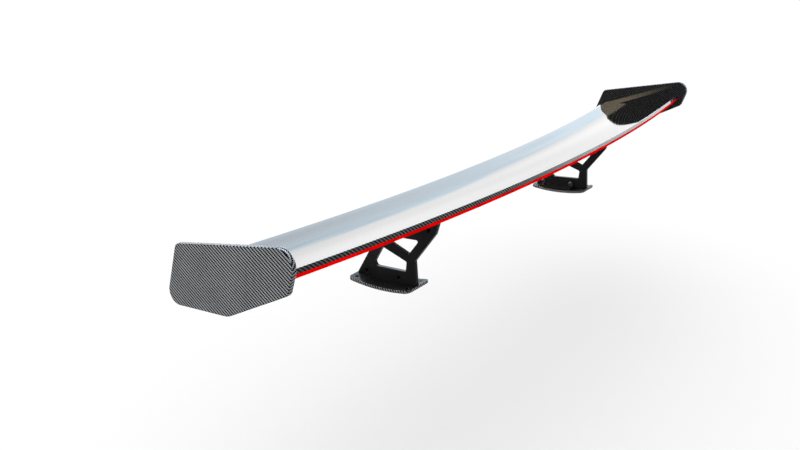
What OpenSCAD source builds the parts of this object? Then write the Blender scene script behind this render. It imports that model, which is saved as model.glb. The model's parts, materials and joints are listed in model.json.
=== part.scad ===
// Rear wing for a race car: a bowed carbon blade between two end plates, standing on two
// open uprights that screw down to a boot lid through curved carbon feet.
// +X right across the car, +Y towards the front, +Z up. The origin is midway between the
// two feet and halfway along them, at the height of their lowest point.

/* [Wing blade] */
// Width of the whole wing over the end plates' outer faces
span = 1500; // [1300:10:1700]
// Nose to trailing edge
chord = 204; // [190:1:215]
// Chord line's tilt, trailing edge up, at rest
chord_angle = 9.1; // [7:0.1:11]
// Greatest thickness as a share of the chord
thickness_ratio = 0.11; // [0.1:0.005:0.12]
// Depth of the hollow in the mean line as a share of the chord
camber_ratio = 0.087; // [0.08:0.001:0.1]
// Where along the chord the mean line is lowest
camber_place = 0.37; // [0.35:0.01:0.42]
// Extra bend of the mean line just behind its lowest point, which leaves the rear straighter
rear_bend = 0.67; // [0:0.01:0.8]
// Thickness of the trailing edge
edge_thickness = 3.2; // [2.8:0.1:4]
// Radius of the nose's arc in plan, which bows the middle rearwards
bow_radius = 5600; // [5000:50:7000]
// How far the plane of the bow leans, tips up
bow_tilt = 3.8; // [3:0.2:5]
// Thickness of a carbon skin
skin = 1.6; // [1.2:0.1:2]
// Nose of the blade at mid span, ahead of the origin
nose_y = 17.8; // [14:0.1:20]
// Height of that nose
nose_z = 150.1; // [148:0.1:156]

/* [Trailing edge] */
// Height of the gurney flap above the chord line
gurney_rise = 10.8; // [7:0.1:14]
// Thickness of the gurney flap's upstand
gurney_t = 1.6; // [1:0.1:2.5]
// Length of the gurney flap's foot on the upper skin
gurney_foot = 13; // [8:1:20]
// Thickness of that foot
gurney_foot_t = 0.8; // [0.6:0.1:1.2]
// Height of the coloured trim strip
trim_h = 4.6; // [3:0.1:5]
// Thickness of the trim strip
trim_t = 0.8; // [0.5:0.1:1.2]

/* [End plates] */
// Thickness of an end plate
plate_t = 8; // [5:0.5:10]

/* [Uprights] */
// Distance between the uprights' middle planes
upright_gap = 714; // [600:2:800]
// Thickness of an upright
upright_t = 8; // [6:0.5:10]
// Radius of the curve along an upright's lower edge, which the boot lid sets
foot_curve = 380; // [340:5:480]
// Angle of attack taken away at the lowest setting
range_down = 1; // [0.5:0.5:2]
// Angle of attack added at the highest setting
range_up = 8; // [3:0.5:9]

/* [Feet] */
// Thickness of a base plate
base_t = 5.5; // [5:0.5:6]
// Width of a base plate across the car
base_w = 65; // [60:1:72]
// Length of a base plate along the car
base_l = 140; // [136:1:146]
// Distance between the holes across the car
base_hole_dx = 40; // [36:1:44]
// Distance between the holes along the car
base_hole_dy = 116; // [110:1:120]
// Radius of a base plate's holes
base_hole_r = 3.3; // [2.7:0.1:3.5]

/* [Fasteners] */
// Shank radius of the pivot and adjuster bolts
wing_bolt_r = 3; // [2.5:0.5:3]
// Shank radius of the foot bolts and the screws
small_bolt_r = 2.5; // [2:0.5:2.5]

/* [Hidden] */
$fn = 48;
bow_fn = 1440;          // facets in a full turn of the bow
curve_fn = 720;         // facets in a full turn of the foot curve
section_steps = 36;     // stretches along each side of the wing section
corner_steps = 12;      // stretches in each rounded corner
edge_steps = 12;        // stretches along each other curved edge
bond = 0.1;             // thickness of a glue line between flat or matching faces
core_gap = 0.3;         // thickness of a glue line inside and under the blade
joint_gap = 0.4;        // gap between an upright and the lug that turns on it
nut_gap = 0.3;          // gap between a lug and the washer that clamps it
thread_gap = 0.02;      // radial play of a thread in its hole
screw_play = 0.2;       // radial play of a screw in a plain hole
pivot_play = 0.05;      // radial play of the pivot bolt in its lug
slot_play = 0.4;        // play of the adjuster bolt in its slot
cut = 1;                // how far a cutting shape runs past a face

// Places on the uprights, as [y, z]
pivot = [-9, 121];
adjuster = [-90.8, 127.8];
foot_bolt_spots = [[48, 16.2], [-26, 21.9]];
foot_mid_y = 25.5;      // where the foot curve is lowest

// Spans and places across the car
half_inner = span / 2 - plate_t;
upright_x = upright_gap / 2;
face_out = upright_x + upright_t / 2;
face_in = upright_x - upright_t / 2;
blade_end = half_inner - bond;
rib_t = 6;
spar_end = blade_end - rib_t - bond;

// ---- Outlines ----
function unit(v) = v / norm(v);
function turn(a) = a > 180 ? a - 360 : a < -180 ? a + 360 : a;
// Arc that rounds corner b, between its neighbours a and c
function corner(a, b, c, r) =
  let (u = unit(a - b), v = unit(c - b), half = acos(u * v) / 2,
       mid = b + unit(u + v) * r / sin(half),
       p = b + u * r / tan(half) - mid, q = b + v * r / tan(half) - mid,
       from = atan2(p.y, p.x), sweep = turn(atan2(q.y, q.x) - from))
  [for (i = [0:corner_steps]) around(mid, r, from + sweep * i / corner_steps)];
// A point at distance r and bearing a from a centre
function around(c, r, a) = c + r * [cos(a), sin(a)];
// Rounded corners, each [y, z, radius], along a line that comes from one point and goes to another
function fillets(before, pts, after) =
  let (n = len(pts), xy = concat([before], [for (p = pts) [p.x, p.y]], [after]))
  [for (i = [1:n]) each corner(xy[i - 1], xy[i], xy[i + 1], pts[i - 1].z)];
// Closed outline with such corners
function rounded(pts) =
  let (last = pts[len(pts) - 1])
  fillets([last.x, last.y], pts, [pts[0].x, pts[0].y]);
// Even steps from a to b
function steps(a, b, n = edge_steps) = [for (i = [0:n]) a + (b - a) * i / n];
function reverse(v) = [for (i = [len(v) - 1:-1:0]) v[i]];

// ---- Wing section ----
local_angle = chord_angle + bow_tilt;
// How far the mean line lies below the chord line, from its lowest point's depth
function camber(u) = chord * camber_ratio * (u < camber_place
  ? 1 - pow(1 - u / camber_place, 2)
  : let (v = (u - camber_place) / (1 - camber_place)) 1 - v * v * (1 + rear_bend * (1 - v)));
// Half thickness of a four-digit section, opened out to the trailing edge's thickness
function half_t(u) = chord * 5 * thickness_ratio * (0.2969 * sqrt(u) - 0.126 * u
  - 0.3516 * pow(u, 2) + 0.2843 * pow(u, 3) - 0.1036 * pow(u, 4)) + edge_thickness / 2 * u;
function outer_half(u) = max(half_t(u), bond / 2);
function inner_half(u) = max(half_t(u) - skin, bond / 2);
function core_half(u) = inner_half(u) - core_gap;
function upper(u) = outer_half(u) - camber(u);
function lower(u) = -outer_half(u) - camber(u);
// Cosine spacing from nose to trailing edge
stations = [for (i = [0:section_steps]) (1 - cos(180 * i / section_steps)) / 2];
// The same without the nose, from trailing edge to nose, for the inside of a skin
inner_stations = [for (i = [section_steps:-1:1]) stations[i]];
// From [rearward, up] along and across the chord line to [radius, height] of the bow
function bowed(p) = [bow_radius + p.x * cos(local_angle) - p.y * sin(local_angle),
                     p.x * sin(local_angle) + p.y * cos(local_angle)];
// The same point as [y, z] on the car, in the plane at x
function on_car(p, x) =
  let (b = bowed(p), fore = bow_radius - sqrt(b.x * b.x - x * x))
  [nose_y + fore * cos(bow_tilt) - b.y * sin(bow_tilt),
   nose_z + fore * sin(bow_tilt) + b.y * cos(bow_tilt)];
// Shares of the chord from u0 to u1, as closely spaced as the skins' own
function shares(u0, u1) = steps(u0, u1, ceil((u1 - u0) * section_steps));
// Outline of the hollow between the skins from u0 to u1, less a wall above and below
function core_outline(u0, u1, wall = 0) =
  let (us = shares(u0, u1))
  concat([for (u = us) bowed([chord * u, core_half(u) - wall - camber(u)])],
         [for (u = reverse(us)) bowed([chord * u, wall - core_half(u) - camber(u)])]);

// Sweeps a section around the bow, between two planes across the car
module bow(x0, x1) {
  reach = 2 * chord;
  half = asin((span / 2) / bow_radius) + 0.2;
  intersection() {
    translate([0, nose_y, nose_z]) rotate([bow_tilt, 0, 0]) translate([0, bow_radius, 0])
      rotate([0, 0, -90 - half]) rotate_extrude(angle = 2 * half, $fn = bow_fn) children();
    translate([x0, nose_y - reach, nose_z - reach]) cube([x1 - x0, 2 * reach, 2 * reach]);
  }
}
// A flat outline in the plane of the side view, from x0 towards the right
module side_plate(x0, t) translate([x0, 0, 0]) rotate([90, 0, 90]) linear_extrude(t) children();
// A hole along X through [y, z], from x0 to x1
module cross_hole(p, x0, x1, r)
  translate([x0, p.x, p.y]) rotate([0, 90, 0]) cylinder(h = x1 - x0, r = r);
// The left side is the mirror image of the right
module left() mirror([1, 0, 0]) children();
module both() { children(); left() children(); }
// A place on the wing at a share u of the chord, height h off the chord line, turned with it
module on_wing(u, h, x) {
  p = on_car([chord * u, h], x);
  translate([x, p.x, p.y]) rotate([-chord_angle, 0, 0]) children();
}

// ---- Blade ----
module upper_skin() color("gainsboro") bow(-blade_end, blade_end) polygon(concat(
  [for (u = stations) bowed([chord * u, upper(u)])],
  [for (u = inner_stations) bowed([chord * u, inner_half(u) - camber(u)])]));

module lower_skin() color("dimgray") difference() {
  bow(-blade_end, blade_end) polygon(concat(
    [for (u = stations) bowed([chord * u, lower(u)])],
    [for (u = inner_stations) bowed([chord * u, -inner_half(u) - camber(u)])]));
  both() lug_screw_holes(small_bolt_r + screw_play);
}

// Square tube along the thickest part of the blade
spar_wall = 1.6;
spar_from = 0.14;
spar_to = 0.28;
module main_spar() color("#222222") bow(-spar_end, spar_end) difference() {
  polygon(core_outline(spar_from, spar_to));
  polygon(core_outline(spar_from + spar_wall / chord, spar_to - spar_wall / chord, spar_wall));
}

// Channel that opens rearwards
rear_from = 0.7;
rear_to = 0.76;
module rear_spar() color("#222222") bow(-spar_end, spar_end) difference() {
  polygon(core_outline(rear_from, rear_to));
  polygon(core_outline(rear_from + spar_wall / chord, rear_to + cut / chord, spar_wall));
}

// Closes the end of the blade and gives the end plate its glue face
rib_from = 0.04;
rib_to = 0.92;
module end_rib() color("#333333") bow(spar_end + bond, blade_end)
  polygon(core_outline(rib_from, rib_to));

// Threaded hard point over a lug
block_from = 0.3;
block_to = 0.62;
block_l = 36;
block_x = face_in - joint_gap - block_l / 2;
module mount_block() color("silver") difference() {
  bow(block_x - block_l / 2, block_x + block_l / 2) polygon(core_outline(block_from, block_to));
  lug_screw_holes(small_bolt_r + thread_gap);
}

// ---- Trailing edge ----
module gurney_flap() color("#444444") bow(-blade_end, blade_end) {
  rear = chord + bond;
  rest = upper(1) + bond;
  us = shares(1 - gurney_foot / chord, 1);
  polygon([for (p = concat(
    [[rear, rest], [rear, lower(1)], [rear + gurney_t, lower(1)], [rear + gurney_t, gurney_rise],
     [rear, gurney_rise], [rear, rest + gurney_foot_t]],
    [for (u = reverse(us)) [chord * u, upper(u) + bond + gurney_foot_t]],
    [for (u = us) [chord * u, upper(u) + bond]])) bowed(p)]);
}

module trim_strip() color("red") bow(-blade_end, blade_end) {
  rear = chord + 2 * bond + gurney_t;
  polygon([for (p = [[rear, lower(1)], [rear + trim_t, lower(1)],
    [rear + trim_t, lower(1) + trim_h], [rear, lower(1) + trim_h]]) bowed(p)]);
}

// ---- End plates ----
endplate_corners = [[72, 189, 13], [-173, 241.5, 24], [-151, 171.5, 13], [-29.5, 104, 40], [109, 85.5, 19]];
module endplate() color("#555555") side_plate(half_inner, plate_t) polygon(rounded(endplate_corners));

// ---- Lugs ----
lug_t = 5;
flange_t = 4;
flange_l = 24;
flange_from = 0.12;
flange_to = 0.64;
lug_in = face_in - joint_gap - lug_t;
lug_screw_shares = [0.37, 0.53];
lug_screw_x = lug_in - flange_l / 2 - cut;
button_recess = 4.7;    // depth of the recess around a screw's head, below the flange
lug_edge = [[-101.5, 124, 4], [-92, 110, 6], [-80, 106, 8], [-66, 121, 16], [-30, 117, 16],
            [-18, 109, 8], [0, 109, 8]];
adjuster_arm = norm(adjuster - pivot);
adjuster_bearing = atan2(adjuster.y - pivot.y, adjuster.x - pivot.x);
slot_r = wing_bolt_r + slot_play;
// Slot that the adjuster bolt follows: two long arcs about the pivot and two round ends
function slot_outline() =
  let (a0 = adjuster_bearing - range_down, a1 = adjuster_bearing + range_up,
       end0 = around(pivot, adjuster_arm, a0), end1 = around(pivot, adjuster_arm, a1),
       ends = [for (a = steps(0, 180)) if (a > 0) a])
  concat([for (a = steps(a0, a1)) around(pivot, adjuster_arm + slot_r, a)],
         [for (a = ends) around(end1, slot_r, a1 + a)],
         [for (a = steps(a1, a0)) if (a < a1) around(pivot, adjuster_arm - slot_r, a)],
         [for (a = ends) if (a < 180) around(end0, slot_r, a0 + 180 + a)]);

// Holes for the screws that hold a lug up to its block
module lug_screw_holes(r) for (u = lug_screw_shares)
  on_wing(u, lower(u) - 2 * flange_t, lug_screw_x) cylinder(h = 5 * flange_t, r = r);

module wing_lug() color("#1a1a1a") difference() {
  us = shares(flange_from, flange_to);
  top = [for (u = us) on_car([chord * u, lower(u) - core_gap - flange_t / 2], upright_x)];
  union() {
    bow(lug_in - flange_l, face_in - joint_gap) polygon([for (p = concat(
      [for (u = us) [chord * u, lower(u) - core_gap]],
      [for (u = reverse(us)) [chord * u, lower(u) - core_gap - flange_t]])) bowed(p)]);
    side_plate(lug_in, lug_t) polygon(concat(top, fillets(top[len(top) - 1], lug_edge, top[0])));
  }
  cross_hole(pivot, lug_in - cut, face_in, wing_bolt_r + pivot_play);
  side_plate(lug_in - cut, lug_t + 2 * cut) polygon(slot_outline());
  lug_screw_holes(small_bolt_r + screw_play);
  for (u = lug_screw_shares) on_wing(u, lower(u) - core_gap - flange_t - button_recess, lug_screw_x)
    cylinder(h = button_recess + core_gap, r = 2 * small_bolt_r + slot_play);
}

// ---- Fasteners, each along +Z with its bearing face at z = 0 ----
socket_r = 0.75;        // hexagon socket, as a share of the shank radius
socket_depth = 0.8;
// Countersunk head: its greatest radius, straight rim and depth, as shares of the shank radius
head_r = 1.6;
head_rim = 0.15;
head_depth = 0.75;
end_chamfer = 0.3;
// Countersunk bolt whose flat head faces down
module flush_bolt(r, l) difference() {
  rotate_extrude() polygon([[0, 0], [head_r * r, 0], [head_r * r, head_rim * r], [r, head_depth * r],
    [r, l - end_chamfer * r], [(1 - end_chamfer) * r, l], [0, l]]);
  translate([0, 0, -cut]) cylinder(h = cut + socket_depth * r, r = socket_r * r, $fn = 6);
}
// Screw with a domed head below z = 0
button_h = 1.05;
button_r = 1.85;
module button_screw(r, l) difference() {
  rotate_extrude() polygon([[0, -button_h * r], [r, -button_h * r], [1.6 * r, -0.65 * r],
    [button_r * r, 0], [r, 0], [r, l - end_chamfer * r], [(1 - end_chamfer) * r, l], [0, l]]);
  translate([0, 0, -button_h * r - cut]) cylinder(h = cut + socket_depth * r, r = socket_r * r, $fn = 6);
}
// Locking nut: a chamfered hexagon with a round collar
nut_r = 2;
collar_r = 1.45;
module lock_nut(r, t) difference() {
  hex_t = 0.7 * t;
  union() {
    intersection() {
      cylinder(h = hex_t, r = nut_r * r, $fn = 6);
      rotate_extrude() polygon([[0, 0], [0.85 * nut_r * r, 0], [nut_r * r, 0.1 * nut_r * r],
        [nut_r * r, hex_t], [0, hex_t]]);
    }
    cylinder(h = t, r = collar_r * r);
  }
  translate([0, 0, -cut]) cylinder(h = t + 2 * cut, r = r + thread_gap);
}
washer_r = 2.1;
module washer(r, t) difference() {
  cylinder(h = t, r = washer_r * r);
  translate([0, 0, -cut]) cylinder(h = t + 2 * cut, r = r + 2 * thread_gap);
}
// Turns +Z inwards at [y, z], from the plane at x
module inward(p, x) translate([x, p.x, p.y]) rotate([0, -90, 0]) children();

head_sink = 1.2;        // how far a bolt's head lies below an upright's outer face
thread_end = 1;         // thread that shows past a nut
wing_washer_t = 1.6;
wing_nut_t = 5.6;
wing_clamp_x = lug_in - nut_gap;
wing_bolt_l = face_out - head_sink - wing_clamp_x + wing_washer_t + wing_nut_t + thread_end;
module wing_bolt(p) inward(p, face_out - head_sink) flush_bolt(wing_bolt_r, wing_bolt_l);
module wing_washer(p) inward(p, wing_clamp_x) washer(wing_bolt_r, wing_washer_t);
module wing_nut(p) inward(p, wing_clamp_x - wing_washer_t) lock_nut(wing_bolt_r, wing_nut_t);
module pivot_bolts() color("#181818") both() wing_bolt(pivot);
module pivot_washers() color("silver") both() wing_washer(pivot);
module pivot_nuts() color("silver") both() wing_nut(pivot);
module adjuster_bolts() color("#181818") both() wing_bolt(adjuster);
module adjuster_washers() color("silver") both() wing_washer(adjuster);
module adjuster_nuts() color("silver") both() wing_nut(adjuster);

lug_screw_l = flange_t + skin + 8;
module lug_screws() color("#181818") for (u = lug_screw_shares)
  on_wing(u, lower(u) - flange_t, lug_screw_x) button_screw(small_bolt_r, lug_screw_l);

// ---- Uprights ----
foot_centre_z = base_t + foot_curve;
function foot_z(y) = foot_centre_z - sqrt(foot_curve * foot_curve - pow(y - foot_mid_y, 2));
foot_front = 69.5;
foot_rear = -65.8;
top_front = -1;
top_rear = -112.5;
rear_knee = [-104.6, 122.2];
rear_waist = [-61.8, 62];
lower_window = [[34.2, 30.4, 7], [-42.2, 37.4, 3], [-43.8, 56.8, 3], [10.6, 72.8, 4]];
upper_window = [[-48.2, 72.3, 2], [-71, 103.6, 3], [-10, 97.6, 5], [-3.5, 87.7, 3]];
// Height of the blade's underside at y, found by walking along its section
function underside(y, u = 0.02) =
  let (p = on_car([chord * u, lower(u)], upright_x))
  p.x <= y || u > 0.98 ? p.y : underside(y, u + 0.005);
// Height of an upright's top edge at y, clear of the blade at both ends of its travel
top_clear = 1.6;
function top_z(y) = underside(y) - top_clear
  - (y < pivot.x ? (pivot.x - y) * sin(range_down) : (y - pivot.x) * sin(range_up));
module upright_outline() polygon(concat(
  [for (y = steps(foot_rear, foot_front)) [y, foot_z(y) + bond]],
  fillets([foot_front, foot_z(foot_front)], [[top_front, top_z(top_front), 4]],
          [top_front - upright_t, top_z(top_front - upright_t)]),
  [for (y = steps(top_front - upright_t, top_rear + upright_t / 2)) [y, top_z(y)]],
  fillets([top_rear + upright_t, top_z(top_rear + upright_t)],
          [[top_rear, top_z(top_rear), 2], [rear_knee.x, rear_knee.y, 6], [rear_waist.x, rear_waist.y, 4]],
          [foot_rear, foot_z(foot_rear)])));
module upright() color("#202020") difference() {
  side_plate(face_in, upright_t) difference() {
    upright_outline();
    polygon(rounded(lower_window));
    polygon(rounded(upper_window));
  }
  for (p = [pivot, adjuster]) flush_hole(p, wing_bolt_r);
  for (p = foot_bolt_spots) flush_hole(p, small_bolt_r);
}
// Bore for a countersunk bolt, opened out for its head from the outer face
head_play = 0.1;
module flush_hole(p, r) {
  cross_hole(p, face_in - cut, face_out + cut, r + thread_gap);
  inward(p, face_out - head_sink) head_sinking(r, head_sink + cut);
}
// The room that a countersunk head takes, and a straight way out below it
module head_sinking(r, way_out) rotate_extrude()
  polygon([[0, -way_out], [head_r * r + head_play, -way_out], [head_r * r + head_play, head_rim * r],
    [r, head_depth * r + head_play], [0, head_depth * r + head_play]]);

// ---- Feet ----
bracket_t = 4;
bracket_flange = 20;
bracket_front = 59.5;
bracket_rear = -31.2;
flange_front = 50;      // front end of the bracket's flange, clear of the base plate's hole
bracket_screw_ys = [34, -8];
bracket_screw_x = face_in - 12;
// Everything within r of the foot curve's centre, between two planes across the car
module above_foot(x0, x1, r) translate([x0, foot_mid_y, foot_centre_z]) rotate([0, 90, 0])
  cylinder(h = x1 - x0, r = r, $fn = curve_fn);
base_corner_r = 9;
base_reach = 60;        // more than the height of anything on a base plate
module base_plate() color("#4a4a4a") difference() {
  intersection() {
    above_foot(upright_x - base_w, upright_x + base_w, foot_curve + base_t);
    translate([upright_x, 0, -cut]) linear_extrude(base_reach) polygon(rounded(
      [for (s = [[1, 1], [-1, 1], [-1, -1], [1, -1]])
        [s.x * base_w / 2, s.y * base_l / 2, base_corner_r]]));
  }
  above_foot(upright_x - base_w - cut, upright_x + base_w + cut, foot_curve);
  for (sx = [-1, 1], sy = [-1, 1])
    translate([upright_x + sx * base_hole_dx / 2, sy * base_hole_dy / 2, -cut])
      cylinder(h = base_reach, r = base_hole_r);
  for (y = bracket_screw_ys) translate([bracket_screw_x, y, foot_z(y) - base_t + thread_gap]) {
    cylinder(h = base_reach, r = small_bolt_r + thread_gap);
    head_sinking(small_bolt_r, base_t);
  }
}
// Angle whose upstand bolts to an upright and whose flange lies on the base plate
bracket_edge = [[bracket_front, 22.5, 5], [bracket_rear, 30.5, 5]];
bracket_x = face_in - bond - bracket_flange;
leg_x = face_in - bond - bracket_t;
module foot_bracket() color("#2a2a2a") difference() {
  intersection() {
    above_foot(bracket_x, face_in - bond, foot_curve - bond);
    union() {
      side_plate(leg_x, bracket_t) polygon(concat([[bracket_rear, 0], [bracket_front, 0]],
        fillets([bracket_front, 0], bracket_edge, [bracket_rear, 0])));
      difference() {
        translate([bracket_x, bracket_rear, 0])
          cube([bracket_flange, flange_front - bracket_rear, base_reach]);
        above_foot(bracket_x - cut, face_in, foot_curve - bracket_t);
      }
    }
  }
  for (p = foot_bolt_spots) cross_hole(p, leg_x - cut, face_in, small_bolt_r + thread_gap);
  for (y = bracket_screw_ys) translate([bracket_screw_x, y, 0])
    cylinder(h = base_reach, r = small_bolt_r + thread_gap);
}
foot_washer_t = 1;
foot_nut_t = 4.6;
foot_bolt_l = face_out - head_sink - leg_x + foot_washer_t + foot_nut_t + thread_end;
module foot_bolts() color("#181818") both() for (p = foot_bolt_spots)
  inward(p, face_out - head_sink) flush_bolt(small_bolt_r, foot_bolt_l);
module foot_washers() color("silver") both() for (p = foot_bolt_spots)
  inward(p, leg_x) washer(small_bolt_r, foot_washer_t);
module foot_nuts() color("silver") both() for (p = foot_bolt_spots)
  inward(p, leg_x - foot_washer_t) lock_nut(small_bolt_r, foot_nut_t);
module bracket_screws() color("#181818") both() for (y = bracket_screw_ys)
  translate([bracket_screw_x, y, foot_z(y) - base_t + head_play])
    flush_bolt(small_bolt_r, base_t + bracket_t);

upper_skin();
lower_skin();
main_spar();
rear_spar();
left() end_rib();  // end_rib_left
end_rib();  // end_rib_right
left() mount_block();  // mount_block_left
mount_block();  // mount_block_right
gurney_flap();
trim_strip();
left() endplate();  // endplate_left
endplate();  // endplate_right
left() wing_lug();  // wing_lug_left
wing_lug();  // wing_lug_right
left() lug_screws();  // lug_screws_left
lug_screws();  // lug_screws_right
left() upright();  // upright_left
upright();  // upright_right
pivot_bolts();
pivot_washers();
pivot_nuts();
adjuster_bolts();
adjuster_washers();
adjuster_nuts();
left() base_plate();  // base_plate_left
base_plate();  // base_plate_right
left() foot_bracket();  // foot_bracket_left
foot_bracket();  // foot_bracket_right
foot_bolts();
foot_washers();
foot_nuts();
bracket_screws();
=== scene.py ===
"""Looks of the racing rear wing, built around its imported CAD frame.

Lengths are in metres where a heading doesn't say millimetres. X is right, Y is forward and Z is up.
"""
import json
import math

import bmesh
import bpy
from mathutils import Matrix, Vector


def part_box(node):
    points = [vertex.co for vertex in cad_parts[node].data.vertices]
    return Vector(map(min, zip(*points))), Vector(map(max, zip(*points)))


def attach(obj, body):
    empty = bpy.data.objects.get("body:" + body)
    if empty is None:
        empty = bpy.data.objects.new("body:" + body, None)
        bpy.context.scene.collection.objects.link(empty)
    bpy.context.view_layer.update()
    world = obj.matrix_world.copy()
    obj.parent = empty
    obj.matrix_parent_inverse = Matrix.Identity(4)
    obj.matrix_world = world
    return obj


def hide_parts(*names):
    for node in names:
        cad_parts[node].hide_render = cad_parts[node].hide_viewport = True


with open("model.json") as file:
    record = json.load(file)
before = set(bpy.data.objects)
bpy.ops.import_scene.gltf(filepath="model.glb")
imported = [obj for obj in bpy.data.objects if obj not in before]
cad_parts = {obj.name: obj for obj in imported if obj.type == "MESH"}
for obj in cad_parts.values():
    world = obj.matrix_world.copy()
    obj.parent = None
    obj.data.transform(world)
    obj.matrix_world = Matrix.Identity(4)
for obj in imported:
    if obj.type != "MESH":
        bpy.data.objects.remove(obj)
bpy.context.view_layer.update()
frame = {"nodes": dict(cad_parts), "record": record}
nodes = frame["nodes"]
MM = 0.001

# The UV map that lays the carbon cloth, in metres along it
CLOTH_MAP = "cloth"

# The corners of a square, counterclockwise
SQUARE = ((1, 1), (-1, 1), (-1, -1), (1, -1))

# ---- How finely curves are cut ----
# An upright's top follows the blade's underside, which is looked up at UNDERSIDE_STEPS values of u.
SECTION_STEPS = 80
BOW_STEPS = 140
GURNEY_FOOT_STEPS = 8
CORNER_STEPS = 14
CIRCLE_STEPS = 40
BEVEL_STEPS = 4
OUTLINE_STEPS = 30
UNDERSIDE_FROM = 0.02
UNDERSIDE_STEP = 0.0025
UNDERSIDE_STEPS = 390
SHARP_ANGLE = math.radians(35)

# ---- Wing section, as the CAD draws it ----
# u runs from 0 at the leading edge to 1 at the trailing edge. THICKNESS, CAMBER and CAMBER_PLACE are parts
# of the chord. SECTION_FORM weighs the root of u and its first four powers, as in four-digit wing sections.
# REAR_BEND bends the mean line more just behind its lowest point. EDGE is the trailing edge's thickness.
# BOW_R is the radius of the bow, whose plane is tilted by BOW_TILT. NOSE is the leading edge at the middle
# of the span, as (y, z).
CHORD = 204 * MM
CHORD_ANGLE = math.radians(9.1)
BOW_TILT = math.radians(3.8)
THICKNESS = 0.11
FORM_FACTOR = 5
SECTION_FORM = (0.2969, -0.126, -0.3516, 0.2843, -0.1036)
CAMBER = 0.087
CAMBER_PLACE = 0.37
REAR_BEND = 0.67
EDGE = 3.2 * MM
SKIN = 1.6 * MM
BOND = 0.1 * MM
BOW_R = 5.6
NOSE = (17.8 * MM, 150.1 * MM)
BLADE_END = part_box("upper_skin")[1].x

# ---- Gurney flap and red strip ----
GURNEY_RISE = 10.8 * MM
GURNEY_T = 1.6 * MM
GURNEY_FOOT = 13 * MM
GURNEY_FOOT_T = 0.8 * MM
TRIM_H = 4.6 * MM
TRIM_T = 0.8 * MM
LIP_ROUND = 0.3 * MM

# ---- End plates and uprights, in millimetres ----
# Corners are (y, z, radius) and bolts are (y, z), the pivot first. TOP_RUN is the straight run beside a
# rounded top corner, and FACE_RING how far inside its round edge a face has one more ring of points.
ENDPLATE = [(72, 189, 13), (-173, 241.5, 24), (-151, 171.5, 13), (-29.5, 104, 40), (109, 85.5, 19)]
LOWER_WINDOW = [(34.2, 30.4, 7), (-42.2, 37.4, 3), (-43.8, 56.8, 3), (10.6, 72.8, 4)]
UPPER_WINDOW = [(-48.2, 72.3, 2), (-71, 103.6, 3), (-10, 97.6, 5), (-3.5, 87.7, 3)]
REAR_CORNERS = [(-104.6, 122.2, 6), (-61.8, 62, 4)]
WING_BOLTS = [(-9, 121), (-90.8, 127.8)]
FOOT_BOLTS = [(48, 16.2), (-26, 21.9)]
ENDPLATE_T = 8.0
ENDPLATE_EDGE = 1.0
UPRIGHT_X = 357.0
UPRIGHT_T = 8.0
UPRIGHT_EDGE = 0.5
FOOT_FRONT = 69.5
FOOT_REAR = -65.8
FOOT_GAP = 0.1
TOP_FRONT = -1.0
TOP_REAR = -112.5
TOP_FRONT_ROUND = 4
TOP_REAR_ROUND = 2
TOP_RUN = 8
TOP_GAP = 1.6
TRAVEL_DOWN = math.radians(1)
TRAVEL_UP = math.radians(8)
FACE_RING = 0.5

# ---- Bolt holes in the uprights, in millimetres ----
# Heads lie HEAD_SINK below the outer face. HEAD_RATIO, HEAD_LAND and HEAD_DEPTH are times the shank's radius.
PIVOT_R = 3.0
FOOT_BOLT_R = 2.5
HEAD_SINK = 1.2
HEAD_RATIO = 1.6
HEAD_GAP = 0.1
HEAD_LAND = 0.15
HEAD_DEPTH = 0.75
BORE_GAP = 0.02
FRONT_CHAMFER = 0.25
BACK_CHAMFER = 0.2

# ---- Base plates, in millimetres ----
# A plate has four bolt holes and two countersunk ones for its bracket's screws, as (x, y). It is curved
# front to rear, with its lowest line at FOOT_MID_Y.
BASE_W = 65.0
BASE_L = 140.0
BASE_T = 5.5
BASE_EDGE = 0.6
BASE_CORNER = 9.0
BASE_HOLES = [(sx * 20, sy * 58) for sx in (-1, 1) for sy in (-1, 1)]
BASE_HOLE_R = 3.3
BASE_CHAMFER = 0.3
BRACKET_SCREWS = [(-16, 34), (-16, -8)]
SCREW_R = 2.52
SCREW_HEAD_R = 4.1
SCREW_LAND = 0.38
SCREW_CONE = 1.6
FOOT_MID_Y = 25.5
FOOT_R = 380.0
BEND_REACH = 66
BEND_STEPS = 44


def camber(u):
    """How far the mean line lies below the chord line at u."""
    if u < CAMBER_PLACE:
        return CHORD * CAMBER * (1 - (1 - u / CAMBER_PLACE) ** 2)
    v = (u - CAMBER_PLACE) / (1 - CAMBER_PLACE)
    return CHORD * CAMBER * (1 - v * v * (1 + REAR_BEND * (1 - v)))


def half_t(u):
    """Half the blade's thickness at u, and never less than half the bond between its skins."""
    powers = (math.sqrt(u), u, u ** 2, u ** 3, u ** 4)
    form = sum(weight * power for weight, power in zip(SECTION_FORM, powers))
    return max(CHORD * FORM_FACTOR * THICKNESS * form + EDGE / 2 * u, BOND / 2)


def inner_half(u):
    """The same, to the inner face of a skin."""
    return max(half_t(u) - SKIN, BOND / 2)


def upper(u):
    """Height of the upper face over the chord line."""
    return half_t(u) - camber(u)


def lower(u):
    """Height of the underside over the chord line, so it is below zero."""
    return -half_t(u) - camber(u)


def on_car(d, h, x):
    """A section point, d back along the chord line and h above it, in the plane at x."""
    angle = CHORD_ANGLE + BOW_TILT
    r = BOW_R + d * math.cos(angle) - h * math.sin(angle)
    up = d * math.sin(angle) + h * math.cos(angle)
    fore = BOW_R - math.sqrt(r * r - x * x)
    y = NOSE[0] + fore * math.cos(BOW_TILT) - up * math.sin(BOW_TILT)
    z = NOSE[1] + fore * math.sin(BOW_TILT) + up * math.cos(BOW_TILT)
    return Vector((x, y, z))


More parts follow.
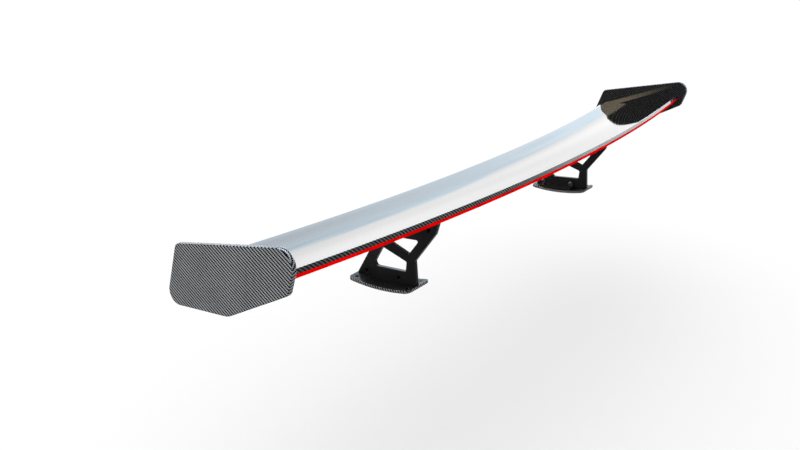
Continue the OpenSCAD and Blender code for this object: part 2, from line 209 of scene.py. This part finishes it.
# ---- Outlines, in millimetres ----
def fillet(a, b, c, r):
    """The arc that rounds corner b between its neighbours a and c."""
    a, b, c = Vector(a[:2]), Vector(b[:2]), Vector(c[:2])
    u, v = (a - b).normalized(), (c - b).normalized()
    half = math.acos(max(-1.0, min(1.0, u.dot(v)))) / 2
    mid = b + (u + v).normalized() * r / math.sin(half)
    p, q = b + u * r / math.tan(half) - mid, b + v * r / math.tan(half) - mid
    start = math.atan2(p.y, p.x)
    swing = (math.atan2(q.y, q.x) - start + math.pi) % math.tau - math.pi
    turns = [start + swing * i / CORNER_STEPS for i in range(CORNER_STEPS + 1)]
    return [(mid.x + r * math.cos(t), mid.y + r * math.sin(t)) for t in turns]


def fillets(before, corners, after):
    """Rounds a run of corners, given as (y, z, radius), between two plain points."""
    line = [before, *corners, after]
    return [point for a, b, c in zip(line, line[1:], line[2:]) for point in fillet(a, b, c, b[2])]


def rounded(corners):
    """A closed outline with all its corners rounded."""
    return fillets(corners[-1], corners, corners[0])


def spread(a, b, count):
    """Even steps from a to b, both ends included."""
    return [a + (b - a) * i / count for i in range(count + 1)]


def circle(centre, r):
    """Points round a hole, in the same plane as the outlines."""
    turns = [math.tau * i / CIRCLE_STEPS for i in range(CIRCLE_STEPS)]
    return [(centre[0] + r * math.cos(t), centre[1] + r * math.sin(t)) for t in turns]


def foot_z(y, above=BASE_T):
    """Height at y of the curve that lies a given height above the boot lid's."""
    r = FOOT_R + BASE_T - above
    return FOOT_R + BASE_T - math.sqrt(r * r - (y - FOOT_MID_Y) ** 2)


def underside(y):
    """Height of the blade's underside at y, above an upright."""
    us = [UNDERSIDE_FROM + UNDERSIDE_STEP * i for i in range(UNDERSIDE_STEPS)]
    spots = (on_car(CHORD * u, lower(u), UPRIGHT_X * MM) / MM for u in us)
    return next((spot.z for spot in spots if spot.y <= y), 0)


def top_z(y):
    """Height of an upright's top at y. The blade clears it over the whole travel."""
    pivot_y = WING_BOLTS[0][0]
    travel = TRAVEL_DOWN if y < pivot_y else TRAVEL_UP
    return underside(y) - TOP_GAP - math.sin(travel) * abs(pivot_y - y)


def upright_outline():
    """The upright's outer edge: along its foot, up the front, back along the top and down the rear."""
    low = [(y, foot_z(y) + FOOT_GAP) for y in spread(FOOT_REAR, FOOT_FRONT, OUTLINE_STEPS)]
    front_y = TOP_FRONT - TOP_RUN
    front = fillets((FOOT_FRONT, foot_z(FOOT_FRONT)), [(TOP_FRONT, top_z(TOP_FRONT), TOP_FRONT_ROUND)],
                    (front_y, top_z(front_y)))
    top = [(y, top_z(y)) for y in spread(front_y, TOP_REAR + TOP_RUN / 2, OUTLINE_STEPS)]
    rear_y = TOP_REAR + TOP_RUN
    rear = fillets((rear_y, top_z(rear_y)), [(TOP_REAR, top_z(TOP_REAR), TOP_REAR_ROUND), *REAR_CORNERS],
                   (FOOT_REAR, foot_z(FOOT_REAR)))
    return low + front + top + rear


def into_material(points, hole):
    """Unit steps from each point of an outline into the material."""
    area = sum(a[0] * b[1] - b[0] * a[1] for a, b in zip(points, points[1:] + points[:1]))
    sign = (1 if area > 0 else -1) * (-1 if hole else 1)
    steps = []
    for a, c in zip(points[-1:] + points[:-1], points[1:] + points[:1]):
        along = Vector((c[0] - a[0], c[1] - a[1])).normalized()
        steps.append(Vector((-along.y, along.x)) * sign)
    return steps


def rim(points, thick, bevel, hole=False):
    """Rings from one face of a plate to the other, each (depth, points, steps into the plate).

    The edges are round, and the first and last ring lie in the faces, beside the edge.
    """
    steps = into_material(points, hole)
    turns = [math.pi / 2 * i / BEVEL_STEPS for i in range(BEVEL_STEPS + 1)]
    edge = [(bevel * (1 - math.cos(t)), bevel * (1 - math.sin(t))) for t in turns]
    near = [(0.0, bevel + FACE_RING), *edge]
    far = [(thick - depth, inset) for depth, inset in reversed(near)]
    return [(depth, [(p[0] + s.x * inset, p[1] + s.y * inset) for p, s in zip(points, steps)], steps)
            for depth, inset in near + far]


def bore(centre, profile):
    """Rings of a round hole from (depth, radius) pairs, from one face to the other."""
    return [(depth, circle(centre, r), [Vector((0, 0))] * CIRCLE_STEPS) for depth, r in profile]


# ---- Mesh helpers ----
def finish_mesh(name, bm, body, replaced, materials):
    """Makes the piece, and says which body it rides and the CAD nodes that it replaces."""
    bmesh.ops.recalc_face_normals(bm, faces=bm.faces)
    mesh = bpy.data.meshes.new(name)
    bm.to_mesh(mesh)
    bm.free()
    mesh.shade_smooth()
    mesh.set_sharp_from_angle(angle=SHARP_ANGLE)
    piece = bpy.data.objects.new(name, mesh)
    bpy.context.scene.collection.objects.link(piece)
    for material in materials:
        mesh.materials.append(material)
    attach(piece, body)
    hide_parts(*replaced)


def sweep(name, ring, replaced, material):
    """A closed ring of section points carried along the bow, with cloth coordinates across and along."""
    bm = bmesh.new()
    uv = bm.loops.layers.uv.new(CLOTH_MAP)
    run = [0.0]
    for a, b in zip(ring, ring[1:] + ring[:1]):
        run.append(run[-1] + math.dist(a, b))
    xs = spread(-BLADE_END, BLADE_END, BOW_STEPS)
    rows = [[bm.verts.new(on_car(d, h, x)) for d, h in ring] for x in xs]
    for k in range(BOW_STEPS):
        for i in range(len(ring)):
            j = (i + 1) % len(ring)
            face = bm.faces.new((rows[k][i], rows[k][j], rows[k + 1][j], rows[k + 1][i]))
            spots = ((xs[k], run[i]), (xs[k], run[i + 1]), (xs[k + 1], run[i + 1]), (xs[k + 1], run[i]))
            for loop, spot in zip(face.loops, spots):
                loop[uv].uv = spot
    for row in (rows[0], rows[-1][::-1]):
        for loop in bm.faces.new(row).loops:
            loop[uv].uv = (loop.vert.co.y, loop.vert.co.z)
    finish_mesh(name, bm, "wing", replaced, [material])


def plate(name, rims, place, body, replaced, materials, bends=()):
    """A plate from its rims. place() puts (first, second, depth) in the frame.

    bends are the places where the plate is cut across, so that it can follow a curve. The first material
    covers the face at depth 0, the middle one the edges and the last one the other face. The cloth of a
    face folds over onto the edges.
    """
    bm = bmesh.new()
    uv = bm.loops.layers.uv.new(CLOTH_MAP)
    ends = ([], [])
    for rings in rims:
        rows = [[bm.verts.new((*p, depth)) for p in points] for depth, points, _ in rings]
        count = len(rows[0])
        for k in range(len(rings) - 1):
            for i in range(count):
                j = (i + 1) % count
                corners = ((k, i), (k, j), (k + 1, j), (k + 1, i))
                face = bm.faces.new([rows[ring][at] for ring, at in corners])
                face.material_index = len(materials) // 2
                for loop, (ring, at) in zip(face.loops, corners):
                    depth, points, steps = rings[ring]
                    first = points[at][0] + steps[at].x * depth
                    second = points[at][1] + steps[at].y * depth
                    loop[uv].uv = (first * MM, second * MM)
        for end, row in zip(ends, (rows[0], rows[-1])):
            end.extend(bm.edges.get((row[i], row[(i + 1) % count])) for i in range(count))
    for index, edges in zip((0, len(materials) - 1), ends):
        made = bmesh.ops.triangle_fill(bm, use_beauty=True, use_dissolve=False, edges=edges)
        for face in (item for item in made["geom"] if isinstance(item, bmesh.types.BMFace)):
            face.material_index = index
            for loop in face.loops:
                loop[uv].uv = (loop.vert.co.x * MM, loop.vert.co.y * MM)
    for bend in bends:
        bmesh.ops.bisect_plane(bm, geom=bm.verts[:] + bm.edges[:] + bm.faces[:], plane_co=(0, bend, 0),
                               plane_no=(0, 1, 0))
    for vert in bm.verts:
        vert.co = place(*vert.co)
    finish_mesh(name, bm, body, replaced, materials)


# ---- Shader helpers ----
def grey(level):
    """A colour of three equal parts."""
    return (level, level, level)


def scaled(colour, factors):
    """A colour, each part of it times its own factor."""
    return tuple(c * f for c, f in zip(colour, factors))


def new_material(name):
    """A new material with its node tree and its shader."""
    material = bpy.data.materials.new(name)
    material.use_nodes = True
    tree = material.node_tree
    return material, tree, tree.nodes["Principled BSDF"]


def feed(tree, socket, value):
    """Links a socket to another one, or sets it to a value."""
    if isinstance(value, bpy.types.NodeSocket):
        tree.links.new(value, socket)
    else:
        socket.default_value = value


def calc(tree, op, *values):
    """A Math node's result."""
    node = tree.nodes.new("ShaderNodeMath")
    node.operation = op
    for socket, value in zip(node.inputs, values):
        feed(tree, socket, value)
    return node.outputs[0]


def blend(tree, factor, a, b):
    """Mixes two colours by a factor. Sockets 6 and 7 of the node take them, and 2 gives the result."""
    node = tree.nodes.new("ShaderNodeMix")
    node.data_type = "RGBA"
    for socket, value in zip((node.inputs[0], node.inputs[6], node.inputs[7]), (factor, a, b)):
        feed(tree, socket, (*value, 1) if isinstance(value, tuple) else value)
    return node.outputs[2]


def span(tree, value, low, high, out_low=0.0, out_high=1.0):
    """Maps low to high onto out_low to out_high, smoothly, and holds the ends."""
    node = tree.nodes.new("ShaderNodeMapRange")
    node.interpolation_type = "SMOOTHSTEP"
    for socket, given in zip(node.inputs, (value, low, high, out_low, out_high)):
        feed(tree, socket, given)
    return node.outputs[0]


def noise(tree, vector, scale, detail, stretch=None):
    """Noise of a given scale and detail; stretch squeezes it along each axis."""
    if stretch:
        node = tree.nodes.new("ShaderNodeMapping")
        node.inputs["Scale"].default_value = stretch
        tree.links.new(vector, node.inputs["Vector"])
        vector = node.outputs[0]
    node = tree.nodes.new("ShaderNodeTexNoise")
    node.inputs["Scale"].default_value = scale
    node.inputs["Detail"].default_value = detail
    tree.links.new(vector, node.inputs["Vector"])
    return node.outputs[0]


def bump(tree, height, strength, distance, normal=None):
    """A normal tilted by a height, on top of another normal if one is given."""
    node = tree.nodes.new("ShaderNodeBump")
    node.inputs["Strength"].default_value = strength
    node.inputs["Distance"].default_value = distance
    tree.links.new(height, node.inputs["Height"])
    if normal:
        tree.links.new(normal, node.inputs["Normal"])
    return node.outputs[0]


# ---- Carbon cloth ----
# Scales are per tow width. A shade is (low, high, shade at low, shade at high). In each TWILL_REPEAT steps
# the warp, which is the light tow, is on top for those below TWILL_OVER.
TOW = 1.715 * MM
TWILL_REPEAT = 4.0
TWILL_OVER = 1.5
FIBRES_ALONG = 0.7
FIBRES_ACROSS = 16
PATCH_SCALE = 0.03
LACQUER_SCALE = 0.12
# The tows' shade below is partly the dark gap beside each tow and partly painted shade of its rounded top
TOW_PAINTED_SHADE = (0.0, 0.5, 0.45, 1.0)
FIBRE_SHADE = (0.25, 0.75, 0.75, 1.25)
PATCH_SHADE = (0.3, 0.7, 0.92, 1.08)
FIBRE_ROUGHNESS = (0.3, 0.7, 0.38, 0.55)
WEAVE_DEPTH = 0.1 * MM
WEAVE_BUMP = 0.2
LACQUER_BUMP = 0.05
LACQUER_IOR = 1.5
PLATE_TURN = math.radians(-12.4)


def carbon_material(name, light, dark, turned=0.0, slant=-1, metal=0.5, lacquer=1.0, gloss=0.025, relief=0.0,
                    tint=grey(1.0)):
    """Two-by-two twill under clear lacquer.

    light and dark are the greys of the two tow directions. turned is the cloth's angle on the part, and
    slant is the way its diagonals run. metal is how metallic the light tows look. lacquer is how much of
    the clear coat there is, gloss its roughness, and relief how far the light tows show in its surface.
    tint is the cast of both greys.
    """
    material, tree, bsdf = new_material(name)
    coords = tree.nodes.new("ShaderNodeUVMap")
    coords.uv_map = CLOTH_MAP
    cloth = tree.nodes.new("ShaderNodeMapping")
    cloth.inputs["Scale"].default_value = (1 / TOW, 1 / TOW, 1)
    cloth.inputs["Rotation"].default_value = (0, 0, -turned)
    tree.links.new(coords.outputs["UV"], cloth.inputs["Vector"])
    flat = cloth.outputs[0]
    split = tree.nodes.new("ShaderNodeSeparateXYZ")
    tree.links.new(flat, split.inputs[0])
    p, q = split.outputs[0], split.outputs[1]
    step = calc(tree, "MULTIPLY_ADD", calc(tree, "FLOOR", q), float(slant), calc(tree, "FLOOR", p))
    warp = calc(tree, "LESS_THAN", calc(tree, "FLOORED_MODULO", step, TWILL_REPEAT), TWILL_OVER)

    def across(value):
        """Rounded height over one tow's width."""
        return calc(tree, "SINE", calc(tree, "MULTIPLY", calc(tree, "FRACT", value), math.pi))

    def either(on_warp, on_weft):
        """on_warp where a light tow is on top, and on_weft where a dark one is."""
        node = tree.nodes.new("ShaderNodeMix")
        tree.links.new(warp, node.inputs[0])
        tree.links.new(on_weft, node.inputs[2])
        tree.links.new(on_warp, node.inputs[3])
        return node.outputs[0]

    crown = either(across(q), across(p))
    warp_fibres = noise(tree, flat, scale=1.0, detail=4.0, stretch=(FIBRES_ALONG, FIBRES_ACROSS, 1))
    weft_fibres = noise(tree, flat, scale=1.0, detail=4.0, stretch=(FIBRES_ACROSS, FIBRES_ALONG, 1))
    fibres = either(warp_fibres, weft_fibres)
    patches = noise(tree, flat, PATCH_SCALE, detail=2.0)
    # Painted shade of the rounded tow tops and the dark gaps between tows darken each tow along its sides,
    # their fibres differ, and the cloth changes slowly from place to place
    shade = calc(tree, "MULTIPLY", span(tree, crown, *TOW_PAINTED_SHADE), span(tree, fibres, *FIBRE_SHADE))
    shade = calc(tree, "MULTIPLY", shade, span(tree, patches, *PATCH_SHADE))
    tows = blend(tree, warp, scaled(grey(dark), tint), scaled(grey(light), tint))
    colour = tree.nodes.new("ShaderNodeVectorMath")
    colour.operation = "SCALE"
    tree.links.new(tows, colour.inputs[0])
    tree.links.new(shade, colour.inputs[3])
    tree.links.new(colour.outputs[0], bsdf.inputs["Base Color"])
    tree.links.new(span(tree, fibres, *FIBRE_ROUGHNESS), bsdf.inputs["Roughness"])
    if metal:
        tree.links.new(calc(tree, "MULTIPLY", warp, metal), bsdf.inputs["Metallic"])
    tree.links.new(bump(tree, crown, WEAVE_BUMP, WEAVE_DEPTH), bsdf.inputs["Normal"])
    waves = noise(tree, flat, LACQUER_SCALE, detail=1.0)
    lacquer_top = calc(tree, "MULTIPLY_ADD", warp, relief, waves)
    tree.links.new(bump(tree, lacquer_top, LACQUER_BUMP, WEAVE_DEPTH), bsdf.inputs["Coat Normal"])
    bsdf.inputs["Coat Roughness"].default_value = gloss
    bsdf.inputs["Specular IOR Level"].default_value = 0.0
    bsdf.inputs["Coat Weight"].default_value = lacquer
    bsdf.inputs["Coat IOR"].default_value = LACQUER_IOR
    return material


carbon_blade = carbon_material("carbon_blade", light=0.016, dark=0.003, metal=0.0, tint=(0.97, 0.99, 1.05))
carbon_under = carbon_material("carbon_under", light=0.05, dark=0.012, gloss=0.08)
carbon_plate = carbon_material("carbon_plate", light=0.34, dark=0.001, turned=PLATE_TURN, metal=0.15,
                               lacquer=0.1, tint=(0.97, 1.0, 1.04))
# Painted highlight: a foot plate's edges are its faces' cloth with light tows about six times lighter, for
# the lit dashes along them
carbon_foot_rim_painted_light = carbon_material("carbon_foot_rim_painted_light", light=0.32, dark=0.001, turned=PLATE_TURN, metal=0.5,
                                  lacquer=0.15)
carbon_rim = carbon_material("carbon_rim", light=0.38, dark=0.001, turned=PLATE_TURN, metal=0.6,
                             lacquer=0.25, tint=(0.95, 1.0, 1.07))
# Painted shade: an end plate's inner face is the same cloth with much darker light tows, standing in for the
# less light that face gives back
carbon_plate_inner_painted_shade = carbon_material("carbon_plate_inner_painted_shade", light=0.05, dark=0.001, turned=PLATE_TURN,
                                     relief=0.6, tint=(0.95, 0.98, 1.08))
carbon_gurney = carbon_material("carbon_gurney", light=0.33, dark=0.001, slant=1, metal=1.0,
                                tint=(0.95, 1.0, 1.03))
carbon_base = carbon_material("carbon_base", light=0.05, dark=0.001, turned=PLATE_TURN, metal=0.6,
                              lacquer=0.25)

# ---- Film, alloy and steel ----
# Scales are per metre. CORNER is the cosine between the rounded normal and the true one, where wear starts
# and where it is full. A sheen is (low, high, sheen at low, sheen at high).
SLOW_SCALE = 22.0
RUB_SCALE = 160.0
GRAIN_SCALE = 900.0
GRAIN_DEPTH = 0.05 * MM
GRAIN_BUMP = 0.12
BEVEL_SAMPLES = 6
CORNER = (0.985, 0.88)
RUBBED = (0.42, 0.62)
MOTTLE = (0.3, 0.7)
MOTTLE_DARK = 0.8
MOTTLE_LIGHT = 1.2
SLOW_SHEEN = (0.25, 0.75, 0.85, 1.15)
FINE_SHEEN = (0.3, 0.7, 0.9, 1.1)


def worn_material(name, colour, worn, rough, metallic=0.0, specular=0.5, grain=(1, 1, 1), edge=0.5 * MM,
                  wear=0.5):
    """A finish with fine grain, rounded edges that show wear, and slow changes of colour and sheen.

    worn is the colour that shows where an edge is rubbed, and wear is how much of it shows.
    """
    material, tree, bsdf = new_material(name)
    place = tree.nodes.new("ShaderNodeTexCoord").outputs["Object"]
    geometry = tree.nodes.new("ShaderNodeNewGeometry")
    rounding = tree.nodes.new("ShaderNodeBevel")
    rounding.samples = BEVEL_SAMPLES
    rounding.inputs["Radius"].default_value = edge
    dot = tree.nodes.new("ShaderNodeVectorMath")
    dot.operation = "DOT_PRODUCT"
    tree.links.new(rounding.outputs[0], dot.inputs[0])
    tree.links.new(geometry.outputs["True Normal"], dot.inputs[1])
    slow = noise(tree, place, SLOW_SCALE, detail=3.0)
    fine = noise(tree, place, GRAIN_SCALE, detail=4.0, stretch=grain)
    rubbed_places = span(tree, noise(tree, place, RUB_SCALE, detail=5.0), *RUBBED, 0.0, wear)
    rubbed = calc(tree, "MULTIPLY", span(tree, dot.outputs["Value"], *CORNER), rubbed_places)
    dark = scaled(colour, grey(MOTTLE_DARK))
    light = scaled(colour, grey(MOTTLE_LIGHT))
    mottled = blend(tree, span(tree, slow, *MOTTLE), dark, light)
    tree.links.new(blend(tree, rubbed, mottled, worn), bsdf.inputs["Base Color"])
    sheen = calc(tree, "MULTIPLY", span(tree, slow, *SLOW_SHEEN), span(tree, fine, *FINE_SHEEN))
    tree.links.new(calc(tree, "MULTIPLY", sheen, rough), bsdf.inputs["Roughness"])
    tree.links.new(bump(tree, fine, GRAIN_BUMP, GRAIN_DEPTH, rounding.outputs[0]), bsdf.inputs["Normal"])
    bsdf.inputs["Metallic"].default_value = metallic
    bsdf.inputs["Specular IOR Level"].default_value = specular
    return material


red_film = worn_material("red_film", colour=(0.7, 0.0, 0.0), worn=(0.5, 0.0, 0.0), rough=0.5, specular=0.0,
                         edge=0.2 * MM)
black_alloy = worn_material("black_alloy", colour=(0.009, 0.009, 0.0095), worn=(0.12, 0.12, 0.125),
                            rough=0.36, specular=0.25, grain=(1, 0.2, 1), wear=0.6)
black_steel = worn_material("black_steel", colour=grey(0.002), worn=(0.06, 0.058, 0.055), rough=0.3,
                            specular=0.15, edge=0.3 * MM, wear=0.6)
zinc_steel = worn_material("zinc_steel", colour=(0.42, 0.43, 0.44), worn=grey(0.6), rough=0.28,
                           metallic=1.0, edge=0.3 * MM)
bare_alloy = worn_material("bare_alloy", colour=(0.6, 0.6, 0.62), worn=grey(0.7), rough=0.35, metallic=1.0,
                           grain=(0.1, 1, 1))
dry_carbon = worn_material("dry_carbon", colour=(0.02, 0.02, 0.022), worn=grey(0.05), rough=0.55,
                           grain=(0.05, 1, 1))

# ---- Every CAD node gets its material, and those that nothing replaces show it ----
CAD_MATERIALS = {"carbon_gloss": carbon_base, "carbon_inner": dry_carbon, "red_trim": red_film,
                 "black_alloy": black_alloy, "bare_alloy": bare_alloy, "black_steel": black_steel,
                 "zinc_steel": zinc_steel}
for entry in frame["record"]["subparts"]:
    node = nodes[entry["node"]]
    node.data.materials.clear()
    node.data.materials.append(CAD_MATERIALS[entry["material_slot"]])


# ---- Blade ----
def skin_ring(side):
    """The outer face from nose to tail, and back along the inner one. side is 1 for the upper skin."""
    stations = [(1 - math.cos(math.pi * i / SECTION_STEPS)) / 2 for i in range(SECTION_STEPS + 1)]
    out = [(CHORD * u, side * half_t(u) - camber(u)) for u in stations]
    back = [(CHORD * u, side * inner_half(u) - camber(u)) for u in stations[:0:-2]]
    return out + back


sweep("blade_top", skin_ring(1), ["upper_skin"], carbon_blade)
sweep("blade_underside", skin_ring(-1), ["lower_skin"], carbon_under)

lip_front = CHORD + BOND
lip_back = lip_front + GURNEY_T
lip_low = lower(1)
foot_top = upper(1) + BOND + GURNEY_FOOT_T
foot_us = spread(1, 1 - GURNEY_FOOT / CHORD, GURNEY_FOOT_STEPS)
lip = [(lip_front, lip_low), (lip_back, lip_low), (lip_back, GURNEY_RISE - LIP_ROUND),
       (lip_back - LIP_ROUND, GURNEY_RISE), (lip_front + LIP_ROUND, GURNEY_RISE),
       (lip_front, GURNEY_RISE - LIP_ROUND), (lip_front, foot_top + 2 * LIP_ROUND),
       (lip_front - 2 * LIP_ROUND, foot_top)]
foot_upper = [(CHORD * u, upper(u) + BOND + GURNEY_FOOT_T) for u in foot_us[1:]]
foot_lower = [(CHORD * u, upper(u) + BOND) for u in foot_us[::-1]]
gurney_ring = [*lip, *foot_upper, *foot_lower, (lip_front, upper(1) + BOND)]
sweep("gurney", gurney_ring, ["gurney_flap"], carbon_gurney)
trim_front = lip_back + BOND
trim_back = trim_front + TRIM_T
trim_top = lip_low + TRIM_H
trim_ring = [(trim_front, lip_low), (trim_back - LIP_ROUND, lip_low), (trim_back, lip_low + LIP_ROUND),
             (trim_back, trim_top - LIP_ROUND), (trim_back - LIP_ROUND, trim_top), (trim_front, trim_top)]
sweep("trim", trim_ring, ["trim_strip"], red_film)


# ---- Plates on each side ----
def sunk_bore(centre, r):
    """A bolt hole through an upright, opened out for its countersunk head at depth 0."""
    head = HEAD_RATIO * r + HEAD_GAP
    shank = r + BORE_GAP
    return bore(centre, [(0, head + FRONT_CHAMFER), (FRONT_CHAMFER, head), (HEAD_SINK + HEAD_LAND * r, head),
                         (HEAD_SINK + HEAD_DEPTH * r + HEAD_GAP, shank), (UPRIGHT_T - BACK_CHAMFER, shank),
                         (UPRIGHT_T, r + BACK_CHAMFER)])


for side, sign in (("left", -1), ("right", 1)):
    outer_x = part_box("endplate_" + side)[0 if sign < 0 else 1].x

    def beside_blade(y, z, depth, face=outer_x, inward=-sign):
        return Vector((face + inward * depth * MM, y * MM, z * MM))

    plate("endplate_skin_" + side, [rim(rounded(ENDPLATE), ENDPLATE_T, ENDPLATE_EDGE)], beside_blade,
          "wing", ["endplate_" + side], [carbon_plate, carbon_rim, carbon_plate_inner_painted_shade])

    def beside_boot(y, z, depth, face=sign * (UPRIGHT_X + UPRIGHT_T / 2), inward=-sign):
        return Vector(((face + inward * depth) * MM, y * MM, z * MM))

    windows = [rim(rounded(window), UPRIGHT_T, UPRIGHT_EDGE, hole=True)
               for window in (LOWER_WINDOW, UPPER_WINDOW)]
    wing_bores = [sunk_bore(spot, PIVOT_R) for spot in WING_BOLTS]
    foot_bores = [sunk_bore(spot, FOOT_BOLT_R) for spot in FOOT_BOLTS]
    outline = rim(upright_outline(), UPRIGHT_T, UPRIGHT_EDGE)
    plate("upright_body_" + side, [outline, *windows, *wing_bores, *foot_bores], beside_boot,
          "stands", ["upright_" + side], [black_alloy])

    def on_boot(x, y, depth, mid=sign * UPRIGHT_X, mirror=sign):
        return Vector(((mid + mirror * x) * MM, y * MM, foot_z(y, BASE_T - depth) * MM))

    edge = rounded([(a * BASE_W / 2, b * BASE_L / 2, BASE_CORNER) for a, b in SQUARE])
    hole = [(0, BASE_HOLE_R + BASE_CHAMFER), (BASE_CHAMFER, BASE_HOLE_R),
            (BASE_T - BASE_CHAMFER, BASE_HOLE_R), (BASE_T, BASE_HOLE_R + BASE_CHAMFER)]
    sink_top = BASE_T - SCREW_LAND
    sink = [(0, SCREW_R), (sink_top - SCREW_CONE, SCREW_R), (sink_top, SCREW_HEAD_R), (BASE_T, SCREW_HEAD_R)]
    holes = [bore(spot, hole) for spot in BASE_HOLES]
    sinks = [bore(spot, sink) for spot in BRACKET_SCREWS]
    plate("foot_plate_" + side, [rim(edge, BASE_T, BASE_EDGE), *holes, *sinks], on_boot,
          "stands", ["base_plate_" + side], [carbon_base, carbon_foot_rim_painted_light, carbon_base],
          bends=spread(-BEND_REACH, BEND_REACH, BEND_STEPS))

# ---- Studio floor ----
FLOOR_Z = -0.3
FLOOR_REACH = 40
FLOOR_WHITE = 0.9
floor_mesh = bpy.data.meshes.new("floor")
floor_mesh.from_pydata([(a * FLOOR_REACH, b * FLOOR_REACH, FLOOR_Z) for a, b in SQUARE], [], [(0, 1, 2, 3)])
floor = bpy.data.objects.new("floor", floor_mesh)
bpy.context.scene.collection.objects.link(floor)
floor_material, _, floor_bsdf = new_material("floor_white")
floor_bsdf.inputs["Base Color"].default_value = (*grey(FLOOR_WHITE), 1)
floor_bsdf.inputs["Roughness"].default_value = 1.0
floor_bsdf.inputs["Specular IOR Level"].default_value = 0.0
floor.data.materials.append(floor_material)
floor.visible_glossy = False

# ---- Studio light ----
# The lacquer mirrors white walls low down, bluish light above them, a darker room beside and behind the
# camera, and one warm lamp. bearing is in degrees to the right of +Y, and rise is the height of a unit ray.
# Pairs are the (low, high) ends of a smooth change, or the levels at its two ends.
WALL_TOP_BEARING = (53.0, 60.0)
WALL_TOP_RISE = (0.134, 0.197)
WALL_TOP_SOFT = 0.012
WALL_BEARING = (44.0, 64.0)
LOW_WALL_LEVELS = (2.45, 1.95)
HIGH_WALL_LEVELS = (2.6, 2.4)
HIGH_WALL_RISE = (0.05, 0.12)
WALL_FOOT_LEVEL = 0.8
WALL_FOOT_RISE = (-0.45, -0.02)
CLOUD_SCALE = 7.0
CLOUD_STRETCH = (1.0, 1.0, 2.0)
CLOUD_LEVELS = (0.35, 0.65)
DARK_CLOUD = (1.72, 2.13, 2.42)
LIGHT_CLOUD = (2.1, 2.5, 2.75)
HIGH_SKY = (2.75, 3.08, 3.4)
HIGH_SKY_RISE = (0.15, 0.38)
LEFT_EDGE = (-34.0, -20.0)
RIGHT_EDGE = (127.0, 113.0)
DARK_ROOM_LEVEL = 0.15
LAMP = (7.6, 6.3, 4.4)
LAMP_LEFT = (-73.5, -69.0)
LAMP_RIGHT = (-50.0, -56.0)
LAMP_LOW = (0.15, 0.17)
LAMP_HIGH = (0.4, 0.3)
SOFT_LIGHT_LEVEL = 1.15

world = bpy.data.worlds.new("studio")
bpy.context.scene.world = world
world.use_nodes = True
wt = world.node_tree
way = wt.nodes.new("ShaderNodeSeparateXYZ")
ray = wt.nodes.new("ShaderNodeTexCoord").outputs["Generated"]
wt.links.new(ray, way.inputs[0])
rise = way.outputs[2]
bearing = calc(wt, "MULTIPLY", calc(wt, "ARCTAN2", way.outputs[0], way.outputs[1]), 180 / math.pi)
wall_top = span(wt, bearing, *WALL_TOP_BEARING, *WALL_TOP_RISE)
above = span(wt, calc(wt, "SUBTRACT", rise, wall_top), -WALL_TOP_SOFT, WALL_TOP_SOFT)
clouds = span(wt, noise(wt, ray, CLOUD_SCALE, detail=3.0, stretch=CLOUD_STRETCH), *CLOUD_LEVELS)
low_sky = blend(wt, clouds, DARK_CLOUD, LIGHT_CLOUD)
sky = blend(wt, span(wt, rise, *HIGH_SKY_RISE), low_sky, HIGH_SKY)
across_wall = span(wt, bearing, *WALL_BEARING)
low_wall = blend(wt, across_wall, *map(grey, LOW_WALL_LEVELS))
high_wall = blend(wt, across_wall, *map(grey, HIGH_WALL_LEVELS))
low_wall = blend(wt, span(wt, rise, *WALL_FOOT_RISE), grey(WALL_FOOT_LEVEL), low_wall)
wall = blend(wt, span(wt, rise, *HIGH_WALL_RISE), low_wall, high_wall)
bright = blend(wt, above, wall, sky)
in_front = calc(wt, "MULTIPLY", span(wt, bearing, *LEFT_EDGE), span(wt, bearing, *RIGHT_EDGE))
room = blend(wt, in_front, grey(DARK_ROOM_LEVEL), bright)
lamp_across = calc(wt, "MULTIPLY", span(wt, bearing, *LAMP_LEFT), span(wt, bearing, *LAMP_RIGHT))
lamp_up = calc(wt, "MULTIPLY", span(wt, rise, *LAMP_LOW), span(wt, rise, *LAMP_HIGH))
room = blend(wt, calc(wt, "MULTIPLY", lamp_across, lamp_up), room, LAMP)
# Everything but mirrored rays meets one even light, which lights the floor and softens the shadow
path = wt.nodes.new("ShaderNodeLightPath")
wt.links.new(blend(wt, path.outputs["Is Glossy Ray"], grey(SOFT_LIGHT_LEVEL), room),
             wt.nodes["Background"].inputs["Color"])

# ---- Camera ----
LOOK_DOWN = math.radians(20.566)
LOOK_RIGHT = math.radians(52.575)
camera_data = bpy.data.cameras.new("camera")
camera = bpy.data.objects.new("camera", camera_data)
bpy.context.scene.collection.objects.link(camera)
camera_data.sensor_width = 36
camera_data.lens = 33.59
camera_data.clip_start = 0.05
camera_data.clip_end = 200
camera.location = (-1.3324, -0.773, 0.5824)
camera.rotation_euler = (math.pi / 2 - LOOK_DOWN, 0, -LOOK_RIGHT)
bpy.context.scene.camera = camera
bpy.context.scene.view_settings.view_transform = "Standard"
